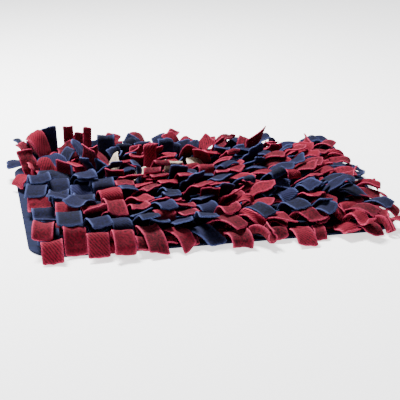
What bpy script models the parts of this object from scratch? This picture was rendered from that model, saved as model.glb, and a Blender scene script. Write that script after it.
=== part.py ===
"""Snuffle mat: a flat felt base with tiers of fleece strips drawn through it, their free ends in a pile.

Metres, +Z up. The origin is the middle of the base's underside, and the front edge is at -Y.
In each tier the strips of one colour are one comb: the run of cloth that the base holds, with the free
strip ends rising from it. Tiers are counted from the front edge and columns from the left, both from 1.
"""

import math
import random

import bmesh
import bpy
from mathutils import Quaternion, Vector
from mathutils.bvhtree import BVHTree

MM = 0.001

# The base sheet.
BASE_WIDTH = 450 * MM
BASE_DEPTH = 350 * MM
BASE_THICK = 3 * MM
CORNER_RADIUS = 38 * MM
CORNER_STEPS = 7

# The tiers, and the runs of cloth in them.
TIERS = 16
COLUMNS = 16
TIER_Y_FIRST = -163 * MM
TIER_PITCH = 21.6 * MM
COLUMN_X_FIRST = -200 * MM
COLUMN_PITCH = 26.6 * MM
TIER_SHIFT = 2.5 * MM
COLOUR_OFFSET = {"navy": -2.2 * MM, "red": 2.2 * MM, "cream": 6.6 * MM}
LAY_GAP = 0.3 * MM
RUN_HEIGHT = 2.2 * MM

# The strips.
STRIP_THICK = 2 * MM
STRIP_WIDTH = 24 * MM
STRIP_LENGTH = 64 * MM
CLEARANCE = 0.6 * MM
RUN_CLEARANCE = 0.4 * MM
ROOT_WIDTH = 6 * MM
BEND_SPAN = 0.6  # the share of the length over which a strip bends
TURN_BY = 0.34  # the share of the length by which it has opened out from its root
TURNED_COSINE = 0.72  # a strip whose heading's cosine is over this leans along its run
CUP_BY = 0.7  # the share of the length by which its width has curled
LAST_SLOPE = 0.25  # how many segments before its end its last slope is read
SHARP_BEND = 80  # degrees between rise and tip
FLAT_CURL = 0.01  # radians
SEED = 11

# How many flat pieces a strip has across its width, by how far it curls, in degrees, and along its length.
ACROSS = ((36, 1), (150, 2), (400, 5))
ALONG = {"gentle": 3, "sharp": 4}

# How a strip may be moved until it lies clear of the ones before it: degrees, and shares of its length.
# The moves that change its shape least are tried first, at these costs for a degree or a whole length.
LIFTS = (0, 6, 12, -7, 18, -14, 24, 30)
SWINGS = (0, 8, -8, 16, -16, 25, -25, 36, -36)
TRIMS = (1.0, 0.87, 0.74, 0.62, 0.5, 0.42)
LIFT_COST = 1.3
SWING_COST = 0.6
TRIM_COST = 60
LEAST_RISE = 14
MOST_RISE = 105

# How far chance changes a strip's lie from that of its zone: degrees, and shares.
BEND_SPREAD = 0.08
TWIST_SHARE = 0.7
CUP_SPREAD = (-1, 2)
CUT_SPREAD = 14
WIDTH_SPREAD = (0.9, 1.03)

COLOURS = {
    "navy": ((0.020, 0.032, 0.090), 0.95),
    "red": ((0.340, 0.016, 0.036), 0.95),
    "cream": ((0.720, 0.660, 0.580), 0.95),
    "base": ((0.030, 0.038, 0.105), 0.95),
}
RED_SHARE = 0.46
FRINGE_TIERS = 2
FRINGE_RED_SHARE = 0.8

# How a strip lies. heading: the way it leans, in degrees from +X towards +Y. rise and tip: its slope at the
# root and at the free end, in degrees above level. bend: where along it the bend lies, 0 to 1. twist: how far
# its free end turns about its length. cup: the arc that its width curls into. cut: the slant of the free end.
# length and width: shares of STRIP_LENGTH and STRIP_WIDTH.
LIE = ("heading", "rise", "tip", "bend", "twist", "cup", "cut", "length", "width")

# The lie in each part of the mat, by x and y in mm. A strip takes the first zone that its root is in.
ZONE = ("x from", "x to", "y from", "y to", *LIE, "turn spread", "slope spread", "length spread")
ZONES = (
    (-225, -185, 60, 180, 145, 76, 44, 0.50, 0, 34, 0, 0.70, 1.05, 35, 16, 0.12),
    (-185, -110, 128, 180, 90, 80, 52, 0.50, 0, 20, 0, 0.70, 1.03, 75, 22, 0.16),
    (-110, 30, 128, 180, 90, 72, 42, 0.50, 0, 20, 0, 0.62, 0.94, 50, 20, 0.14),
    (30, 130, 128, 180, 30, 52, 6, 0.50, 0, 30, 0, 0.68, 1.00, 50, 20, 0.12),
    (130, 225, 100, 180, -30, 34, -18, 0.50, 0, 44, 0, 0.70, 1.00, 26, 12, 0.10),
    (-185, -60, 85, 128, -95, 74, 32, 0.50, 0, 30, 0, 0.74, 1.03, 60, 22, 0.14),
    (-60, 130, 85, 128, -80, 56, 14, 0.50, 0, 34, 0, 0.76, 1.02, 40, 20, 0.12),
    (-225, -110, -128, 60, -90, 48, -42, 0.55, 0, 24, 0, 0.96, 1.16, 13, 16, 0.10),
    (-225, -100, -180, -128, -90, 56, -60, 0.48, 0, 18, 0, 0.94, 1.06, 10, 12, 0.10),
    (-100, 140, -180, -128, -76, 46, -50, 0.42, 0, 24, 0, 0.95, 1.00, 18, 12, 0.10),
    (140, 225, -180, -90, -52, 44, -35, 0.42, 0, 34, 0, 0.90, 1.00, 20, 14, 0.10),
    (185, 225, -90, 100, -26, 38, -8, 0.50, 0, 50, 0, 0.78, 1.00, 16, 14, 0.08),
    (120, 185, -90, 100, -30, 42, 2, 0.50, 0, 40, 0, 0.95, 1.00, 22, 18, 0.10),
    (20, 120, -128, 85, -58, 42, 4, 0.55, 0, 30, 0, 0.92, 1.02, 22, 18, 0.10),
    (-110, 20, -128, 85, -86, 44, 10, 0.55, 0, 26, 0, 0.90, 1.04, 20, 18, 0.10),
)
ANYWHERE = (-225, 225, -180, 180, -90, 42, 10, 0.50, 0, 20, 0, 0.95, 1.00, 15, 12, 0.10)

# Strips that lie in a way of their own: tier, column and colour, then the lie.
SINGLE = ("tier", "column", "colour", *LIE)
SINGLES = (
    # The back left corner and the back edge.
    (14, 1, "navy", 176, 70, -12, 0.45, 0, 75, 0, 0.78, 1.10),
    (15, 2, "red", 146, 84, 60, 0.50, -25, 25, 0, 0.93, 1.25),
    (16, 2, "navy", 100, 88, 84, 0.50, 0, 10, 10, 0.84, 0.95),
    (16, 3, "red", 108, 88, 86, 0.80, 0, 14, 0, 0.84, 0.62),
    (16, 4, "red", 150, 60, 30, 0.50, 0, 20, 0, 0.70, 1.00),
    (15, 4, "red", 78, 88, 84, 0.80, 10, 20, 0, 0.86, 0.50),
    (15, 5, "navy", 90, 86, 80, 0.50, 0, 8, -8, 0.71, 1.05),
    (14, 4, "navy", 140, 62, 42, 0.50, 20, 10, 20, 0.84, 1.05),
    (14, 5, "red", 150, 58, 30, 0.50, 10, 20, 0, 0.74, 1.00),
    (14, 6, "red", -60, 84, 50, 0.50, 0, 30, 30, 0.49, 0.90),
    (15, 6, "navy", 90, 84, 70, 0.50, 0, 10, 10, 0.49, 1.00),
    (15, 7, "navy", 90, 86, 74, 0.50, 0, 10, -6, 0.51, 1.00),
    (14, 8, "navy", 90, 88, 78, 0.50, 0, 14, 0, 0.66, 0.95),
    (16, 8, "red", 8, 66, 54, 0.50, 66, 20, 0, 0.72, 0.62),
    (16, 9, "red", 30, 55, 16, 0.50, 0, 30, 0, 0.59, 1.00),
    (16, 10, "red", -20, 60, 10, 0.50, 0, 40, 0, 0.59, 1.00),
    (15, 11, "red", 10, 72, 40, 0.50, 0, 20, 42, 0.61, 1.20),
    (16, 12, "navy", 60, 60, 0, 0.50, 0, 60, 0, 0.51, 1.20),
    (15, 13, "red", -52, 78, 66, 0.50, 0, 16, 38, 0.58, 1.20),
    (14, 14, "red", -120, 80, 30, 0.50, 0, 60, 0, 0.51, 1.05),
    (14, 15, "red", 10, 44, 8, 0.50, 0, 20, 30, 0.59, 1.10),
    # Behind the middle.
    (13, 3, "navy", 150, 45, 5, 0.50, 0, 34, 0, 1.00, 1.20),
    (12, 5, "cream", 40, 76, 60, 0.50, 0, 10, 46, 0.52, 0.80),
    (12, 2, "red", 125, 74, 30, 0.50, 0, 130, 0, 0.80, 1.10),
    (12, 1, "red", 214, 56, -35, 0.50, 0, 20, 0, 0.64, 1.10),
    (11, 3, "navy", 160, 42, 0, 0.50, 0, 100, 0, 0.90, 1.00),
    (12, 3, "navy", -60, 40, -30, 0.50, 0, 14, 0, 0.90, 0.90),
    (12, 7, "red", -90, 86, 70, 0.50, 0, 44, 0, 0.72, 0.78),
    (12, 9, "red", 170, 60, -10, 0.50, 0, 60, 0, 0.75, 1.00),
    (11, 6, "cream", 20, 50, 10, 0.50, 0, 30, 0, 0.50, 0.80),
    (11, 8, "cream", -90, 80, 60, 0.50, 0, 14, 0, 0.52, 1.00),
    (12, 10, "cream", 175, 60, 0, 0.50, 0, 60, 0, 0.55, 0.75),
    (10, 6, "navy", 0, 80, 140, 0.70, 0, 30, 0, 0.70, 0.90),
    # The middle.
    (7, 6, "red", -150, 60, -60, 0.50, 60, 40, 0, 0.80, 0.80),
    (5, 11, "red", -38, 30, -5, 0.50, 0, 14, 0, 1.10, 0.80),
    (4, 9, "red", -15, 44, 15, 0.50, 0, 60, 0, 0.85, 1.00),
    (5, 9, "red", -40, 54, 40, 0.50, 0, 20, 45, 0.62, 1.00),
    (3, 10, "navy", -50, 44, -45, 0.50, 0, 20, 0, 0.90, 1.10),
    (3, 12, "navy", -64, 62, -30, 0.50, 0, 24, 0, 0.85, 1.15),
    # The front edge.
    (1, 1, "red", -90, 46, -66, 0.48, 0, 10, 0, 0.90, 1.05),
    (2, 1, "navy", -90, 74, -60, 0.42, 0, 10, 0, 1.06, 1.30),
    (2, 2, "red", -90, 62, -62, 0.44, 0, 10, 0, 1.00, 1.10),
    (3, 2, "navy", -92, 62, -50, 0.50, 0, 12, 0, 1.00, 1.25),
    (2, 5, "red", -78, 36, -42, 0.48, 0, 8, 16, 1.18, 0.98),
    (2, 6, "red", -64, 34, -36, 0.50, 0, 8, -22, 1.02, 0.95),
    (2, 7, "navy", -60, 32, -34, 0.50, 0, 8, 10, 1.06, 1.10),
    (2, 8, "red", -56, 32, -34, 0.50, 0, 10, 0, 1.02, 1.00),
    (1, 9, "red", -80, 30, -40, 0.50, 0, 14, 10, 0.75, 1.15),
    (2, 9, "red", -62, 44, -30, 0.50, 40, 150, 0, 1.00, 0.60),
    (1, 10, "red", -70, 24, -25, 0.50, 0, 310, 0, 0.75, 1.30),
    (2, 10, "red", -24, 26, -10, 0.50, 0, 16, -40, 0.90, 1.00),
    (1, 12, "red", -85, 26, -30, 0.50, 0, 10, 12, 0.80, 1.00),
    (2, 12, "red", -84, 56, -42, 0.50, 0, 12, 26, 0.85, 1.00),
    (1, 13, "red", -92, 20, -60, 0.50, 0, 20, 0, 0.62, 0.62),
    (1, 14, "red", -70, 24, -30, 0.50, 0, 16, 0, 0.58, 1.00),
    (1, 15, "red", -75, 24, -30, 0.50, 0, 30, 20, 0.60, 1.00),
    (2, 15, "red", -50, 38, -30, 0.50, 0, 20, 0, 0.78, 1.05),
    (1, 16, "red", -104, 30, -40, 0.50, 0, 310, 0, 0.52, 1.15),
    (3, 16, "red", -60, 30, -30, 0.50, 0, 20, 0, 0.70, 1.00),
    # The left edge.
    (6, 1, "navy", -88, 56, -46, 0.50, 0, 14, 0, 0.84, 1.20),
    (8, 1, "red", -94, 54, -44, 0.50, 0, 14, 0, 0.80, 1.20),
    # The right side.
    (4, 16, "navy", -66, 44, -20, 0.50, 0, 30, 0, 0.72, 1.00),
    (7, 16, "red", -14, 32, -10, 0.50, -35, 14, 30, 0.80, 1.00),
    (9, 16, "navy", -22, 32, -16, 0.50, 0, 40, 0, 0.72, 1.00),
    (6, 15, "navy", -60, 46, -10, 0.50, 0, 34, 30, 0.82, 1.30),
    (4, 15, "red", -80, 46, -30, 0.50, 0, 20, 10, 0.75, 1.00),
    (4, 13, "red", -20, 42, 0, 0.50, 0, 40, 0, 0.82, 1.00),
    (3, 14, "red", -70, 34, -20, 0.50, 0, 300, 0, 0.55, 1.20),
    (12, 16, "red", -10, 44, -10, 0.50, 0, 120, 0, 0.72, 1.00),
    (11, 16, "red", -16, 40, -10, 0.50, 0, 100, 0, 0.72, 1.00),
    (12, 15, "navy", -50, 54, -30, 0.50, 0, 150, 0, 0.62, 1.00),
    (7, 14, "red", -20, 44, 10, 0.50, 0, 20, -40, 0.60, 1.00),
)


def named(names, rows):
    """Each row of a table as a dictionary."""
    return [dict(zip(names, row)) for row in rows]


def material(name):
    """A plain cloth material in one of the mat's colours."""
    colour, roughness = COLOURS[name]
    made = bpy.data.materials.new(name)
    made.use_nodes = True
    shader = made.node_tree.nodes["Principled BSDF"]
    shader.inputs["Base Color"].default_value = (*colour, 1)
    shader.inputs["Roughness"].default_value = roughness
    shader.inputs["Metallic"].default_value = 0
    made.diffuse_color = (*colour, 1)
    return made


def add_object(name, mesh, colour):
    """Links a bmesh into the scene as one named node, and frees it."""
    data = bpy.data.meshes.new(name)
    bmesh.ops.triangulate(mesh, faces=mesh.faces)
    mesh.to_mesh(data)
    mesh.free()
    data.materials.append(colour)
    bpy.context.scene.collection.objects.link(bpy.data.objects.new(name, data))


def rounded_rectangle(width, depth, radius, steps):
    """The corners of a rectangle with round corners, anticlockwise."""
    points = []
    for quarter, (sx, sy) in enumerate(((1, 1), (-1, 1), (-1, -1), (1, -1))):
        centre = Vector((sx * (width / 2 - radius), sy * (depth / 2 - radius)))
        for step in range(steps + 1):
            angle = math.radians(90) * (quarter + step / steps)
            points.append(centre + radius * Vector((math.cos(angle), math.sin(angle))))
    return points


def base_mesh(thick):
    """A slab with round corners, from the ground up to a thickness."""
    mesh = bmesh.new()
    outline = rounded_rectangle(BASE_WIDTH, BASE_DEPTH, CORNER_RADIUS, CORNER_STEPS)
    face = mesh.faces.new([mesh.verts.new((p.x, p.y, 0)) for p in outline])
    grown = bmesh.ops.extrude_face_region(mesh, geom=[face])
    raised = [e for e in grown["geom"] if isinstance(e, bmesh.types.BMVert)]
    bmesh.ops.translate(mesh, verts=raised, vec=(0, 0, thick))
    bmesh.ops.recalc_face_normals(mesh, faces=mesh.faces)
    return mesh


def ease(share):
    """0 to 1 in an S-curve."""
    share = min(1.0, max(0.0, share))
    return share * share * (3 - 2 * share)


class Strip:
    """One free end: where it is rooted, and how it lies."""

    def __init__(self, tier, column, colour, shift, lie):
        self.tier, self.column, self.colour = tier, column, colour
        self.root = Vector(
            (
                COLUMN_X_FIRST + (column - 1) * COLUMN_PITCH + shift,
                TIER_Y_FIRST + (tier - 1) * TIER_PITCH + COLOUR_OFFSET[colour],
                BASE_THICK + LAY_GAP + RUN_HEIGHT,
            )
        )
        self.heading, self.rise, self.tip, self.bend = (lie[k] for k in LIE[:4])
        self.twist, self.cup, self.cut = (lie[k] for k in LIE[4:7])
        self.length, self.width = lie["length"] * STRIP_LENGTH, lie["width"] * STRIP_WIDTH
        self.across = next(count for most, count in ACROSS if abs(self.cup) < most)
        sharp = abs(self.tip - self.rise) > SHARP_BEND or self.across > ACROSS[1][1]
        self.segments = ALONG["sharp" if sharp else "gentle"]

    def leans_along_run(self):
        """True for a strip that leans more along its run than across it: its root is turned to suit."""
        return abs(math.cos(math.radians(self.heading))) > TURNED_COSINE

    def slope(self, share):
        """The slope above level, in degrees, at a share of the length."""
        return self.rise + (self.tip - self.rise) * ease((share - self.bend) / BEND_SPAN + 0.5)

    def stations(self):
        """(middle, along, side, share) at each section from the root to the free end."""
        lean = Vector((math.cos(math.radians(self.heading)), math.sin(math.radians(self.heading)), 0))
        root_side = Vector((0, 1, 0)) if self.leans_along_run() else Vector((1, 0, 0))
        across = Vector((-lean.y, lean.x, 0))
        if across.dot(root_side) < 0:
            across.negate()
        place = self.root.copy()
        found = [(place.copy(), Vector((0, 0, 1)), root_side, 0.0)]
        for index in range(1, self.segments + 1):
            share = index / self.segments
            slope = math.radians(self.slope(share - 0.5 / self.segments))
            step = math.cos(slope) * lean + Vector((0, 0, math.sin(slope)))
            place = place + self.length / self.segments * step
            slope = math.radians(self.slope(min(share, 1 - LAST_SLOPE / self.segments)))
            along = math.cos(slope) * lean + Vector((0, 0, math.sin(slope)))
            side = root_side.lerp(across, ease(share / TURN_BY))
            side = (side - along * side.dot(along)).normalized()
            side = Quaternion(along, math.radians(self.twist * share)) @ side
            found.append((place.copy(), along, side, share))
        return found

    def section(self, middle, along, side, share, thick):
        """The points round one section, from its left edge along the back and home along the face."""
        face = side.cross(along)
        curl = math.radians(self.cup) * ease(share / CUP_BY)
        width = ROOT_WIDTH + (self.width - ROOT_WIDTH) * ease(share / TURN_BY)
        if share == 0 and self.leans_along_run():
            width, thick = STRIP_THICK, thick - STRIP_THICK + ROOT_WIDTH
        back, front = [], []
        for step in range(self.across + 1):
            over = step / self.across - 0.5
            if abs(curl) > FLAT_CURL:
                radius = width / curl
                offset = side * radius * math.sin(over * curl) + face * radius * (math.cos(over * curl) - 1)
                out = side * math.sin(over * curl) + face * math.cos(over * curl)
            else:
                offset, out = side * width * over, face
            if share == 1:
                offset = offset + along * over * self.width * math.tan(math.radians(self.cut))
            back.append(middle + offset - out * thick / 2)
            front.append(middle + offset + out * thick / 2)
        return back + front[::-1]

    def rings(self, thick):
        """The sections from the root to the free end, for a cloth of this thickness."""
        return [self.section(*station, thick) for station in self.stations()]


def strip_faces(count, rings):
    """The triangles over a strip of this many rings of this many points, and over its free end.

    Both sides are divided the same way, so that a twisted strip keeps its thickness.
    """
    faces = []
    for start in range(0, count * (rings - 1), count):
        for index in range(count):
            here, after = start + index, start + (index + 1) % count
            if index < count // 2:
                faces += [(after, here, here + count), (after, here + count, after + count)]
            else:
                faces += [(after, here, after + count), (here, here + count, after + count)]
    last = count * (rings - 1)
    for index in range(count // 2 - 1):
        back, front = last + index, last + count - 1 - index
        faces += [(back, front, front - 1), (back, front - 1, back + 1)]
    return faces


def strip_tree(strip, thick):
    """A search tree over a strip of this thickness, its triangles, and its points."""
    rings = strip.rings(thick)
    points = [p for ring in rings for p in ring]
    faces = strip_faces(len(rings[0]), len(rings))
    return BVHTree.FromPolygons(points, faces), faces, points


def crosses_itself(strip):
    """True if two triangles of a strip that don't share a corner meet."""
    tree, faces, _ = strip_tree(strip, STRIP_THICK)
    return any(not set(faces[a]) & set(faces[b]) for a, b in tree.overlap(tree))


def box_tree(low, high):
    """A search tree over a box, and the box."""
    mesh = bmesh.new()
    bmesh.ops.create_cube(mesh, size=1)
    bmesh.ops.scale(mesh, vec=high - low, verts=mesh.verts)
    bmesh.ops.translate(mesh, vec=(low + high) / 2, verts=mesh.verts)
    made = BVHTree.FromBMesh(mesh)
    mesh.free()
    return made, low, high


def apart(first, second):
    """True if the boxes of two trees don't meet."""
    return any(first[1][k] > second[2][k] or second[1][k] > first[2][k] for k in range(3))


def lies_clear(strip, laid, run_trees, base):
    """The strip's tree and box, if it is clear of the floor, the base, the runs and the strips laid so far."""
    tree, _, points = strip_tree(strip, STRIP_THICK + 2 * CLEARANCE)
    low = Vector([min(p[k] for p in points) for k in range(3)])
    high = Vector([max(p[k] for p in points) for k in range(3)])
    found = (tree, low, high)
    if low.z < LAY_GAP or tree.overlap(base) or crosses_itself(strip):
        return None
    for key, run in run_trees.items():
        if key != (strip.tier, strip.colour) and not apart(found, run) and found[0].overlap(run[0]):
            return None
    for other in laid:
        if not apart(found, other) and found[0].overlap(other[0]):
            return None
    return found


def moves():
    """Each (lift, swing, trim) in order of cost."""
    found = [(lift, swing, trim) for lift in LIFTS for swing in SWINGS for trim in TRIMS]
    return sorted(
        found, key=lambda m: LIFT_COST * abs(m[0]) + SWING_COST * abs(m[1]) + TRIM_COST * (1 - m[2])
    )


def settle(strip, laid, run_trees, base):
    """Moves a strip until it lies clear. False if there is no room for it."""
    heading, rise, tip, length = strip.heading, strip.rise, strip.tip, strip.length
    for lift, swing, trim in moves():
        strip.heading, strip.length = heading + swing, length * trim
        strip.rise = min(max(rise + lift, LEAST_RISE), max(rise, MOST_RISE))
        strip.tip = tip + lift
        found = lies_clear(strip, laid, run_trees, base)
        if found:
            laid.append(found)
            return True
    return False


def lie_by_zone(x, y, chance):
    """How a strip rooted at x, y lies, by its zone and by chance."""
    zones = named(ZONE, ZONES)
    inside = [
        zone
        for zone in zones
        if zone["x from"] * MM <= x < zone["x to"] * MM and zone["y from"] * MM <= y < zone["y to"] * MM
    ]
    zone = (inside + named(ZONE, [ANYWHERE]))[0]
    turn, slope, length = zone["turn spread"], zone["slope spread"], zone["length spread"]
    return {
        "heading": zone["heading"] + chance.uniform(-turn, turn),
        "rise": zone["rise"] + chance.uniform(-slope, slope) / 2,
        "tip": zone["tip"] + chance.uniform(-slope, slope),
        "bend": zone["bend"] + chance.uniform(-BEND_SPREAD, BEND_SPREAD),
        "twist": chance.uniform(-turn, turn) * TWIST_SHARE,
        "cup": zone["cup"] * chance.uniform(*CUP_SPREAD),
        "cut": chance.uniform(-CUT_SPREAD, CUT_SPREAD),
        "length": zone["length"] * chance.uniform(1 - length, 1 + length),
        "width": zone["width"] * chance.uniform(*WIDTH_SPREAD),
    }


def plan_strips():
    """Every strip with its colour and lie, tier by tier from the front, before any is moved."""
    chance = random.Random(SEED)
    singles = {(s["tier"], s["column"]): s for s in named(SINGLE, SINGLES)}
    strips = []
    for tier in range(1, TIERS + 1):
        shift = chance.uniform(-TIER_SHIFT, TIER_SHIFT)
        red_share = FRINGE_RED_SHARE if tier <= FRINGE_TIERS else RED_SHARE
        for column in range(1, COLUMNS + 1):
            x = COLUMN_X_FIRST + (column - 1) * COLUMN_PITCH
            y = TIER_Y_FIRST + (tier - 1) * TIER_PITCH
            lie = lie_by_zone(x, y, chance)
            colour = "red" if chance.random() < red_share else "navy"
            single = singles.get((tier, column))
            if single:
                lie, colour = single, single["colour"]
            strips.append((bool(single), Strip(tier, column, colour, shift, lie)))
    return strips


def run_ends(strips):
    """The x of the left and right end of the run of cloth under these strips."""
    return (
        min(s.root.x for s in strips) - ROOT_WIDTH / 2,
        max(s.root.x for s in strips) + ROOT_WIDTH / 2,
    )


def combs_of(strips):
    """The strips of each comb, by tier and colour, from left to right."""
    combs = {}
    for strip in sorted(strips, key=lambda s: s.root.x):
        combs.setdefault((strip.tier, strip.colour), []).append(strip)
    return dict(sorted(combs.items()))


def lay_strips():
    """Lays the singles, then the rest tier by tier from the front, each moved until it is clear."""
    planned = plan_strips()
    mesh = base_mesh(BASE_THICK + LAY_GAP)
    base = BVHTree.FromBMesh(mesh)
    mesh.free()
    run_trees = {}
    for key, strips in combs_of([strip for _, strip in planned]).items():
        (left, right), root = run_ends(strips), strips[0].root
        low = Vector((left, root.y - STRIP_THICK / 2 - RUN_CLEARANCE, BASE_THICK + LAY_GAP))
        high = Vector((right, root.y + STRIP_THICK / 2 + RUN_CLEARANCE, root.z + LAY_GAP))
        run_trees[key] = box_tree(low, high)
    laid, kept = [], []
    for wanted in (True, False):
        for single, strip in planned:
            if single == wanted and settle(strip, laid, run_trees, base):
                kept.append(strip)
    print(len(kept), "strip ends laid of", len(planned))
    return kept


def root_edges(points, root):
    """The points of a strip's root along each edge, from left to right or from front to back."""
    half_x, half_y = ROOT_WIDTH / 2, STRIP_THICK / 2
    near = MM / 100
    return {
        "front": sorted((p for p in points if abs(p.co.y - root.y + half_y) < near), key=lambda p: p.co.x),
        "back": sorted((p for p in points if abs(p.co.y - root.y - half_y) < near), key=lambda p: p.co.x),
        "left": sorted((p for p in points if abs(p.co.x - root.x + half_x) < near), key=lambda p: p.co.y),
        "right": sorted((p for p in points if abs(p.co.x - root.x - half_x) < near), key=lambda p: p.co.y),
    }


def comb_mesh(strips):
    """One closed body: the run of cloth along a tier, with its strips' ends rising from it."""
    mesh = bmesh.new()
    (left, right), root = run_ends(strips), strips[0].root
    front_y, back_y = root.y - STRIP_THICK / 2, root.y + STRIP_THICK / 2
    bottom = root.z - RUN_HEIGHT
    feet = [mesh.verts.new(p) for p in ((left, front_y, bottom), (right, front_y, bottom))]
    heels = [mesh.verts.new(p) for p in ((left, back_y, bottom), (right, back_y, bottom))]
    front_top, back_top, before, ends = [], [], [], []
    for strip in strips:
        rings = strip.rings(STRIP_THICK)
        points = [mesh.verts.new(p) for ring in rings for p in ring]
        for corners in strip_faces(len(rings[0]), len(rings)):
            mesh.faces.new([points[corner] for corner in corners])
        edges = root_edges(points[: len(rings[0])], strip.root)
        if before:
            mesh.faces.new([*before[::-1], *edges["left"]])
        before = edges["right"]
        front_top += edges["front"]
        back_top += edges["back"]
        ends += [edges["left"], edges["right"]]
    mesh.faces.new([feet[0], feet[1], *front_top[::-1]])
    mesh.faces.new([heels[1], heels[0], *back_top])
    mesh.faces.new((feet[0], heels[0], heels[1], feet[1]))
    mesh.faces.new([feet[0], *ends[0], heels[0]])
    mesh.faces.new([feet[1], heels[1], *ends[-1][::-1]])
    return mesh


def build():
    for old in list(bpy.data.objects):
        bpy.data.objects.remove(old)
    colours = {name: material(name) for name in COLOURS}
    add_object("base_mat", base_mesh(BASE_THICK), colours["base"])
    for (tier, colour), strips in combs_of(lay_strips()).items():
        add_object(f"tier_{tier:02d}_{colour}", comb_mesh(strips), colours[colour])


build()
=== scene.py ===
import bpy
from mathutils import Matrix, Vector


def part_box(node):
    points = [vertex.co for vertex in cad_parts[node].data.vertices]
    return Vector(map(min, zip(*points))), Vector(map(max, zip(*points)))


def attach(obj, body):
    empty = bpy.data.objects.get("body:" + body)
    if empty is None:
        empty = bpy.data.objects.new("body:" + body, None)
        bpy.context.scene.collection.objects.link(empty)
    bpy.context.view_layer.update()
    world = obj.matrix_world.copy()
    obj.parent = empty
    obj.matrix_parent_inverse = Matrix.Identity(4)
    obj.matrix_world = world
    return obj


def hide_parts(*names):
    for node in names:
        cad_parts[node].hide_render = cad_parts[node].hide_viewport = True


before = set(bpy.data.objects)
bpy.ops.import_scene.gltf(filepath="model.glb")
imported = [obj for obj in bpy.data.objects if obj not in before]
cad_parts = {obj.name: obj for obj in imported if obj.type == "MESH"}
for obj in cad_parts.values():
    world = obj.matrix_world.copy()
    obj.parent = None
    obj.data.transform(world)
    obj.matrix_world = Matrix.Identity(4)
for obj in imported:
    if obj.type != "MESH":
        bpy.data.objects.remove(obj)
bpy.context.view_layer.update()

import math
import random

import bmesh
import bpy
import numpy as np
from mathutils import Quaternion, Vector, noise
from mathutils.bvhtree import BVHTree

mm = 0.001

# Where the strips stand and how they are laid, as in the frame.
layout = {
    "tiers": 16,  # from the front edge
    "columns": 16,  # from the left
    "tier y first": -163 * mm,
    "tier pitch": 21.6 * mm,
    "column x first": -200 * mm,
    "column pitch": 26.6 * mm,
    "tier shift": 2.5 * mm,  # how far chance moves a tier sideways
    "colour offset": {"navy": -2.2 * mm, "red": 2.2 * mm, "cream": 6.6 * mm},
    "base thick": 3 * mm,
    "base corner steps": 7,
    "lay gap": 0.3 * mm,
    "run height": 2.2 * mm,
    "strip thick": 2 * mm,
    "strip width": 24 * mm,
    "strip length": 64 * mm,
    "clearance": 0.6 * mm,  # round each strip
    "run clearance": 0.4 * mm,
    "root width": 6 * mm,
    "bend span": 0.6,  # the share of the length over which a strip bends
    "turn by": 0.34,  # the share by which it has opened out from its root
    "turned cosine": 0.72,  # a heading whose cosine is over this leans along its run
    "cup by": 0.7,  # the share by which its width has curled
    "seed": 11,
    "last slope": 0.25,  # how many segments before its end its last slope is read
    "sharp bend": 80,  # degrees
    "flat curl": 0.01,  # radians
    "across": ((36, 1), (150, 2), (400, 5)),  # flat pieces across a strip, by how far it curls
    "along": {"gentle": 3, "sharp": 4},  # flat pieces along a strip
    # how far chance changes a lie from that of its zone
    "bend spread": 0.08,
    "twist share": 0.7,
    "cup spread": (-1, 2),
    "cut spread": 14,
    "width spread": (0.9, 1.03),
    # the ways a strip is moved until it lies clear, in degrees and shares of its length, and their costs
    "lifts": (0, 6, 12, -7, 18, -14, 24, 30),
    "swings": (0, 8, -8, 16, -16, 25, -25, 36, -36),
    "trims": (1.0, 0.87, 0.74, 0.62, 0.5, 0.42),
    "lift cost": 1.3,
    "swing cost": 0.6,
    "trim cost": 60,
    "least rise": 14,
    "most rise": 105,
    "red share": 0.46,
    "fringe tiers": 2,  # the tiers along the front, which are redder
    "fringe red share": 0.8,
}

# How a strip lies. heading: the way it leans, in degrees from +X towards +Y. rise and tip: its slope at the
# root and at the free end, in degrees above level. bend: where along it the bend lies, 0 to 1. twist: how far
# its free end turns about its length. cup: the arc that its width curls into. cut: the slant of the free end.
# length and width: shares of the strip's full length and width.
lieNames = ("heading", "rise", "tip", "bend", "twist", "cup", "cut", "length", "width")

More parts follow.
